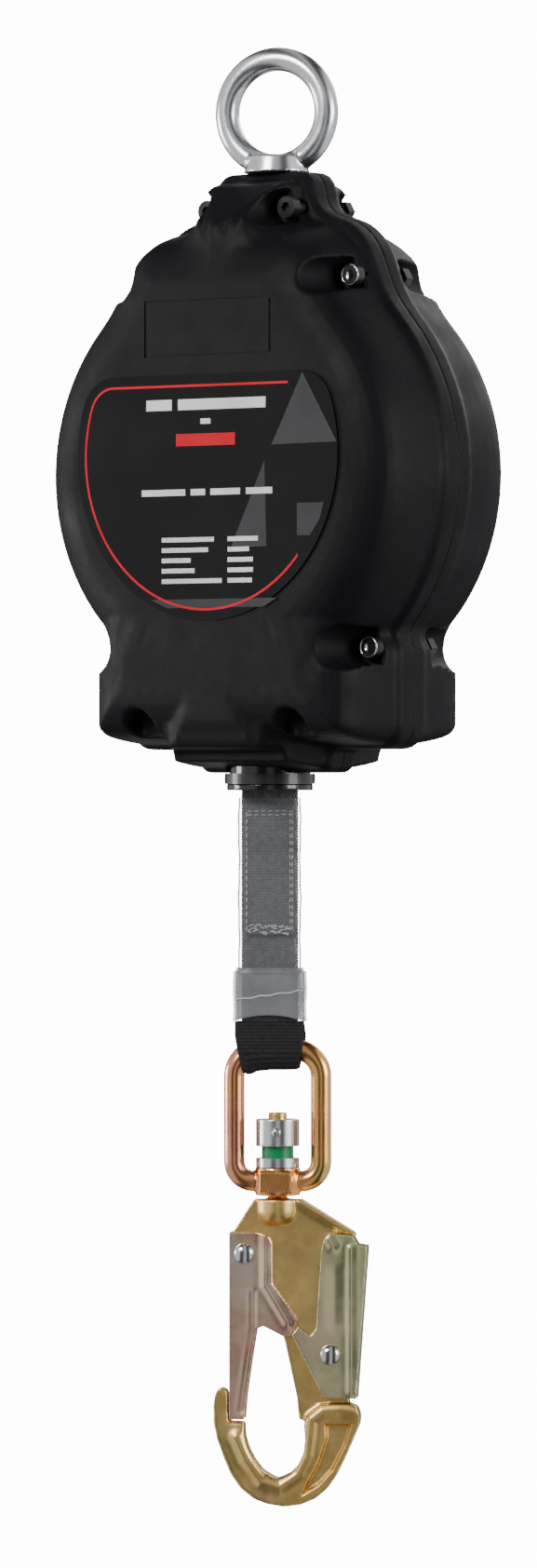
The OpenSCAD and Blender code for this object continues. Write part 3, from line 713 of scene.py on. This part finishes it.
def make_bolt_highlight_rings():
    """A bright steel ring round each bolt head: a painted highlight on its rim."""
    for side, hand in ((-1, "left"), (1, "right")):
        for x, z, _, floor, _ in POCKETS[:2]:
            base = (side * x * MM, -(floor + BOLT_HEAD) * MM, z * MM)
            name = f"look_bolt_highlight_{hand}_{-int(z)}"
            # the bright ring is a painted highlight, not a part of the bolt
            ring = lathe(name, base, TO_FRONT, BOLT_HIGHLIGHT_RING, "rivet_steel", 40)
            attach(ring, "casing")


# ---------------------------------------------------------------- label

LABEL_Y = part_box("front_label")[0].y
PRINT_SINK = 0.1 * MM
GREY_LIFT = 0.05 * MM
PRINT_LIFT = 0.10 * MM

# Left edge, right edge, height above the origin and height of each line of print, in mm.
PRINT_LINES = [(-30.8, -17.6, -122.8, 4.4), (-14.4, 30.6, -122.8, 4.4), (-33.2, -10.6, -157.4, 2.6),
               (-7.8, -0.4, -157.4, 2.6), (2.4, 17.6, -157.4, 2.6), (20.6, 34, -157.4, 2.6)]
ROWS_TOP = -176.2
ROW_PITCH = 4.18
ROW_HEIGHT = 1.9
ROW_LEFT = -22.8
VALUE_LEFT = 11.2
ROWS = [(27, 15.5), (24, 11), (15, 13), (17, 13), (31, 12.5)]


def printed(name, outline_points, material):
    """One printed shape from its corners (x, z) in mm; the grey figure lies under the print."""
    count = len(outline_points)
    points = []
    lift = GREY_LIFT if material == "label_grey" else PRINT_LIFT
    for y in (LABEL_Y - lift, LABEL_Y + PRINT_SINK):
        points += [(x * MM, y, z * MM) for x, z in outline_points]
    faces = [tuple(range(count)), tuple(range(count, 2 * count))]
    for i in range(count):
        j = (i + 1) % count
        faces.append((i, j, j + count, i + count))
    made = mesh_object(name, points, faces, material)
    made.data.shade_flat()
    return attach(made, "casing")


def bar_shape(x0, x1, z, height):
    return [(x0, z), (x1, z), (x1, z + height), (x0, z + height)]


def make_label():
    """Plain bars stand for the lines of print, and plain shapes for the printed figure."""
    first = printed("label_triangle", [(49.2, -109.2), (66.6, -137.4), (33.6, -137.8)], "label_grey")
    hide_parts("label_graphic")
    wedge = [(30, -144), (31, -178.5), (12.8, -178.9)]
    cut_block = [(46.5, -161.5), (60, -161.5), (58, -168), (53, -174.5), (46.5, -174.5)]
    strip = [(-28.6, -199.3), (36.4, -199.3), (29.5, -202.8), (-20, -202.8)]
    for name, corners in (("wedge", wedge), ("block", cut_block), ("strip", strip)):
        printed("label_" + name, corners, "label_grey")
    for i, line in enumerate(PRINT_LINES):
        printed(f"label_line_{i}", bar_shape(*line), "label_white")
    printed("label_line_red", bar_shape(-15.4, 15, -137.4, 5.0), "label_red")
    printed("label_line_small", bar_shape(-2.8, 2.4, -128.6, 2.2), "label_white")
    for row, (words, value) in enumerate(ROWS):
        z = ROWS_TOP - ROW_PITCH * row
        for name, left, length in (("row", ROW_LEFT, words), ("value", VALUE_LEFT, value)):
            bar = bar_shape(left, left + length, z, ROW_HEIGHT)
            printed(f"label_{name}_{row}", bar, "label_white")


# ---------------------------------------------------------------- webbing

def strap_ring(half, y0, y1, z, lift, sides=28):
    """A rounded oblong ring, in the hanging group's own axes, in mm."""
    middle, thick = (y0 + y1) / 2, (y1 - y0) / 2
    ring = []
    for i in range(sides):
        a = 2 * math.pi * i / sides
        c, q = math.cos(a), math.sin(a)
        x = math.copysign(abs(c) ** 0.35, c) * half
        y = math.copysign(abs(q) ** 0.55, q) * (thick + lift)
        ring.append((x, middle + y, z))
    return ring


def hung_rings(name, base, rings, material, closed=False):
    place = hung(base)
    placed = [[place @ (Vector(p) * MM) for p in ring] for ring in rings]
    return rings_object(name, placed, material, closed)


WEFT_PITCH = 1.15
WEFT_EDGE = 0.12


def woven(name, half, y0, y1, z0, z1, lift):
    """A strap with weft ribs: each ring swells and narrows along its length."""
    rings = []
    count = int((z0 - z1) / (WEFT_PITCH / 5))
    for i in range(count + 1):
        z = z0 + (z1 - z0) * i / count
        wave = math.cos(2 * math.pi * z / WEFT_PITCH)
        end = min(1.0, (z0 - z + 0.15) / 0.6, (z - z1 + 0.15) / 0.6)
        ripple = 0.10 * math.sin(z * 0.33) + 0.06 * math.sin(z * 0.81 + 1)
        rings.append(strap_ring(half + WEFT_EDGE * wave, y0 + ripple, y1 + ripple, z, lift * wave * end))
    return hung_rings(name, LINE, rings, "webbing")


THREAD_SIDES = 6
THREAD_SIZES = ((0, 0.35), (0.2, 0.9), (0.5, 1.0), (0.8, 0.9), (1, 0.35))
THREAD_BULGE = 0.22
STITCH_Y = -3.72


def stitch(points, faces, a, b, radius):
    """Adds one thread from a to b, in the hanging group's own axes, bulging out of the strap."""
    a, b = Vector(a), Vector(b)
    along = (b - a).normalized()
    side = along.orthogonal().normalized()
    other = along.cross(side)
    start = len(points)
    for share, size in THREAD_SIZES:
        middle = a.lerp(b, share) + Vector((0, -THREAD_BULGE * math.sin(math.pi * share), 0))
        for i in range(THREAD_SIDES):
            t = 2 * math.pi * i / THREAD_SIDES
            points.append(middle + (side * math.cos(t) + other * math.sin(t)) * radius * size)
    last = len(points) - THREAD_SIDES
    for p in range(start, last, THREAD_SIDES):
        q = p + THREAD_SIDES
        for i in range(THREAD_SIDES):
            k = (i + 1) % THREAD_SIDES
            faces.append((p + i, p + k, q + k, q + i))
    faces.append(tuple(range(start, start + THREAD_SIDES)))
    faces.append(tuple(range(last, last + THREAD_SIDES)))


def make_stitching():
    """One row down the left, two down the right, two across the top and a bartack at the end."""
    rng = np.random.default_rng(7)
    points, faces = [], []
    y = STITCH_Y
    for x in (-9.2, 8.6, 9.5):
        z = -285.5
        while z > -333:
            drift = rng.uniform(-0.12, 0.12)
            stitch(points, faces, (x + drift, y, z), (x - drift, y, z - 2.0), 0.24)
            z -= 2.9
    for z in (-285.0, -286.6):
        x = -9
        while x < 8.4:
            start = (x, y, z + rng.uniform(-0.2, 0.2))
            end = (x + 2, y, z + rng.uniform(-0.2, 0.2))
            stitch(points, faces, start, end, 0.22)
            x += 2.8
    for _ in range(46):
        x, z = rng.uniform(-9.2, 7.6), rng.uniform(-335.0, -331.4)
        tilt = rng.uniform(-0.9, 0.9)
        stitch(points, faces, (x, y, z), (x + 1.9, y, z + tilt), 0.26)
    place = hung(LINE)
    made = mesh_object("look_stitching", [place @ (p * MM) for p in points], faces, "thread")
    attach(made, "line")
    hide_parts("splice_stitching")


SLEEVE_Y = -1.0
TUBE_SIDES = 64
BEAD_ANGLES = (0, 1.05, 2.09, 3.14, 4.19, 5.24)


def tube_rings(half_x, half_y, wall, heights, swell, centre_y):
    """Outer rings downward, then inner rings back up, for an open tube with a wall."""
    rings = []
    for inner in (False, True):
        for z in (heights if not inner else heights[::-1]):
            grow = swell(z)
            less = wall if inner else 0
            ring = []
            for i in range(TUBE_SIDES):
                a = 2 * math.pi * i / TUBE_SIDES
                c, q = math.cos(a), math.sin(a)
                x = math.copysign(abs(c) ** 0.5, c) * (half_x + grow - less)
                y = math.copysign(abs(q) ** 0.75, q) * (half_y + grow * 0.5 - less) + centre_y
                ring.append((x, y, z))
            rings.append(ring)
    return rings


def sleeve_ripple(z):
    return 0.18 * math.sin(z * 0.21) + 0.10 * math.sin(z * 0.57 + 2)


def cuff_flare(z):
    """The cuff is gathered in at its top edge."""
    return -1.1 if z > -350.6 else 0.15 * math.sin(z * 0.4)


def arch(points):
    """Lifts the middle of the cuff's lower edge, where it stretches over the loop."""
    across = (points - np.array(LINE)) @ np.array(ACROSS)
    share = np.clip((-0.360 - points[:, 2]) / 0.0105, 0, 1)
    points[:, 2] += share * (0.0026 * np.clip(1 - (across / 0.0145) ** 2, 0, 1))
    return points


def make_cuff_seam():
    """The slanting edge of film across the cuff's front. The edge is real; its light grey colour is a painted
    highlight.
    """
    rings = []
    for i in range(25):
        x = -13.4 + 26.8 * i / 24
        z = -362.0 + 3.8 * i / 24 + 0.25 * math.sin(i * 0.9)
        middle = Vector((x, -5.35 + 0.35 * (abs(x) / 13.4) ** 4 * 3, z))
        rings.append([middle + Vector((0, 0.3 * math.cos(t), 0.3 * math.sin(t))) for t in BEAD_ANGLES])
    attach(hung_rings("look_cuff_seam", LINE, rings, "sleeve_edge_highlight"), "line")


def make_sleeve():
    """The clear tube, the milky cuff under it and the tube's two edges, whose light grey beads are painted
    highlights.
    """
    heights = [-279.6 - 0.72 * i for i in range(101)]
    rings = tube_rings(12.6, 4.3, 0.45, heights, sleeve_ripple, SLEEVE_Y)
    tube = hung_rings("look_sleeve", LINE, rings, "sleeve", closed=True)
    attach(tube, "line")
    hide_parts("clear_sleeve")
    steps = [-349.0 - 0.535 * i for i in range(42)]
    rings = tube_rings(15.1, 5.4, 0.9, steps, cuff_flare, 0)
    cuff = hung_rings("look_cuff", LINE, rings, "cuff_film", closed=True)
    reshape(cuff, arch)
    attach(cuff, "line")
    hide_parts("sleeve_cuff")
    make_cuff_seam()
    # the beads along the tube's two sides are light grey: a painted highlight on the film's edges
    for side, name in ((-1, "left"), (1, "right")):
        bead = []
        for z in heights:
            reach = side * (12.55 + sleeve_ripple(z))
            bead.append([(reach + 0.34 * math.cos(t), SLEEVE_Y + 0.5 * math.sin(t), z)
                         for t in BEAD_ANGLES])
        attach(hung_rings("look_sleeve_edge_" + name, LINE, bead, "sleeve_edge_highlight"), "line")


LOOP_STEPS = 260
LOOP_LEGS = 11.5
LOOP_RADIUS = 7.0
LOOP_NECK = 3.6
LOOP_SIDES = 44


def loop_path():
    """(y, z, outward y, outward z) along the band: down the front, round the bar and up the back."""
    bar = BAR_Z / MM
    path = []
    for i in range(LOOP_STEPS + 1):
        t = i / LOOP_STEPS
        if t < 0.3 or t > 0.7:
            share = t / 0.3 if t < 0.3 else (1 - t) / 0.3
            side = -1 if t < 0.3 else 1
            y = side * (LOOP_NECK + (LOOP_RADIUS - LOOP_NECK) * (1 - math.cos(math.pi * share)) / 2)
            path.append((y, bar + LOOP_LEGS * (1 - share), side, 0.0))
        else:
            a = math.pi * (t - 0.3) / 0.4
            c, q = math.cos(a), math.sin(a)
            path.append((-LOOP_RADIUS * c, bar - LOOP_RADIUS * q, -c, -q))
    return path


def make_loop():
    """The black protector: a ribbed woven tube folded round the frame's top bar."""
    rings = []
    bar = BAR_Z / MM
    for index, (y, z, out_y, out_z) in enumerate(loop_path()):
        rib = 0.24 * math.cos(2 * math.pi * index / 9.0)
        low = max(0.0, min(1.0, (bar + 6 - z) / 12))
        left = -14.0 + 2.4 * low
        right = 13.8 + 0.7 * math.sin(math.pi * min(1.0, (bar + 11 - z) / 16)) - 1.4 * low
        ring = []
        for j in range(LOOP_SIDES):
            a = 2 * math.pi * j / LOOP_SIDES
            c, q = math.cos(a), math.sin(a)
            x = left + (right - left) * (1 + math.copysign(abs(c) ** 0.4, c)) / 2
            out = math.copysign(abs(q) ** 0.6, q) * (1.2 + (rib if q > 0 else 0)) + 0.1
            fold = 0.5 * math.sin(x * 0.45 + z * 0.2) * low
            sag = 2.0 * math.exp(-((x + 8.6) / 3.2) ** 2) * max(0.0, -out_z)
            fold *= 0.12 if out_y > 0 else 0.4
            ring.append((x, y + out_y * out + fold, z + out_z * out - sag))
        rings.append(ring)
    band = hung_rings("look_loop", LINE, rings, "black_webbing")
    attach(band, "line")
    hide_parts("loop_protector")


def make_lead():
    """The ribbon between the casing and the splice. The real one lengthens as the line is pulled; this one is
    baked in place at one length.
    """
    low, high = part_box("webbing_lead")
    rings = []
    for i in range(61):
        z = high.z / MM + ((low.z - high.z) / MM - 1.6) * i / 60
        rings.append(strap_ring(11.6, -0.85, 0.85, z, 0.03 * math.cos(i * 2.2)))
    lead = hung_rings("look_lead", LINE, rings, "webbing")
    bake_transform(lead)
    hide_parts("webbing_lead")


def make_webbing():
    splice = woven("look_splice", 11.6, -1.7, 1.7, -281.3, -371.2, 0.10)
    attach(splice, "line")
    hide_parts("webbing_splice")
    tail = woven("look_tail", 10.3, -3.65, -1.75, -282.4, -335.4, 0.17)
    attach(tail, "line")
    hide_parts("webbing_tail")
    make_stitching()
    make_sleeve()
    make_loop()
    make_lead()


# ---------------------------------------------------------------- hook

PIN_Z = -0.4161
JAW_TOP = 84

# The forged jaw in the hook's own axes: x across, z below the hook's top, in mm.
JAW_PANEL = [(19.5, -91), (31, -91), (28.5, -100), (23, -110.5), (17.5, -116.5), (9.5, -121.5),
             (11.5, -116), (16.5, -107), (19.8, -97)]
JAW_BAR = [(34, -86.2), (26, -85.4), (19, -86), (14.4, -89.5), (13.8, -96), (12.8, -104), (9, -112),
           (1.5, -117.2), (-6, -115), (-12.4, -106), (-16.4, -97)]


FAR = 1e9


def segment_distance(x, z, a, b):
    ax, az = a
    dx, dz = b[0] - ax, b[1] - az
    t = np.clip(((x - ax) * dx + (z - az) * dz) / (dx * dx + dz * dz), 0, 1)
    return np.hypot(x - ax - t * dx, z - az - t * dz)


def inside_polygon(x, z, corners):
    """Distance inside the polygon, or 0 outside it."""
    inside = np.zeros(len(x), bool)
    nearest = np.full(len(x), FAR)
    for a, b in zip(corners, corners[1:] + corners[:1]):
        crosses = (a[1] > z) != (b[1] > z)
        rise = (b[1] - a[1]) or 1e-9
        inside ^= crosses & (x < (b[0] - a[0]) * (z - a[1]) / rise + a[0])
        nearest = np.minimum(nearest, segment_distance(x, z, a, b))
    return np.where(inside, nearest, 0)


def hook_axes(points):
    """The vertices in the hook's own axes, in mm."""
    rel = points - np.array(HOOK)
    c, s = math.cos(TURN), math.sin(TURN)
    x = (rel[:, 0] * c + rel[:, 1] * s) / MM
    y = (-rel[:, 0] * s + rel[:, 1] * c) / MM
    return x, y, (points[:, 2] - HOOK_TOP) / MM


def push(points, y, amount, face, fade):
    """Moves outward, by amount, the vertices further than face from the hook's middle plane, in mm."""
    move = amount * np.sign(y) * np.clip((np.abs(y) - face) / fade, 0, 1)
    points[:, 0] += -math.sin(TURN) * move * MM
    points[:, 1] += math.cos(TURN) * move * MM
    return points


def ridge(x, z, line, radius, height):
    """A rounded swelling that follows the line."""
    near = np.full(len(x), FAR)
    for a, b in zip(line, line[1:]):
        near = np.minimum(near, segment_distance(x, z, a, b))
    return height * np.exp(-(near / radius) ** 2)


def shape_gate(points):
    """The pressed rib that runs down the gate's leg and out to its ear."""
    x, y, z = hook_axes(points)
    lift = ridge(x, z, [(-4.5, -14), (-4.5, -35), (4.5, -50)], 2.2, 1.0)
    lift -= ridge(x, z, [(-9.6, -38), (-9.6, -52), (-14.5, -86)], 1.6, 0.5)
    return push(points, y, lift, 4.6, 0.8)


def shape_lever(points):
    """The lever's folded edge, its curled corner and its shallow pressed groove."""
    x, y, z = hook_axes(points)
    lift = ridge(x, z, [(30.5, -20), (30.5, -78)], 2.0, 0.7)
    lift += ridge(x, z, [(21.5, -16), (23.0, -18.5)], 2.2, 0.9)
    lift -= ridge(x, z, [(24, -30), (24, -50)], 3.0, 0.35)
    return push(points, y, lift, 6.1, 0.8)


def shape_jaw(points):
    """Sinks the panel in the jaw's web and rounds up the bar that follows the bowl."""
    x, y, z = hook_axes(points)
    sunk = np.clip(inside_polygon(x, z, JAW_PANEL) / 1.3, 0, 1)
    sunk = sunk * sunk * (3 - 2 * sunk) * 2.8
    swell = ridge(x, z, JAW_BAR, 2.6, 1.5) * (z < -83)
    swell += ridge(x, z, [(9.5, -1), (31, -14)], 2.0, 0.9)
    return push(points, y, swell - sunk, 1.2, 2)


def make_stud():
    """The riveted end of the collar's cross pin."""
    base = hung(HOOK) @ Vector((0.2 * MM, -8.2 * MM, PIN_Z))
    outward_axis = (math.sin(TURN), -math.cos(TURN), 0)
    stations = [(0, 0.0019), (0.0011, 0.0019), (0.0016, 0.0014), (0.0018, 0.0006)]
    stud = lathe("look_collar_pin", base, outward_axis, stations, "rivet_steel", 24)
    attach(stud, "hook")
    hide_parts("collar_pin")


# ---------------------------------------------------------------- put together

make_camera()
make_lights()
paint_frame()
make_casing()
make_bolt_highlight_rings()
make_label()
make_webbing()
forged("anchor_eye", "anchor", "zinc", 0.6, 6)
forged("swivel_frame", "frame", "orange_zinc", 0.45, 4)
forged("hook_body", "hook", "yellow_zinc", 0.45, 5, shape_jaw, HOOK_TOP - JAW_TOP * MM)
forged("gate", "gate", "pink_zinc", 0.35, 3, shape_gate)
forged("lock_lever", "lever", "green_zinc", 0.35, 3, shape_lever)
make_stud()
forged("exit_nozzle", "casing", "black_gloss", 0.4, 4)
forged("swivel_collar", "hook", "zinc", 0.25, 3)
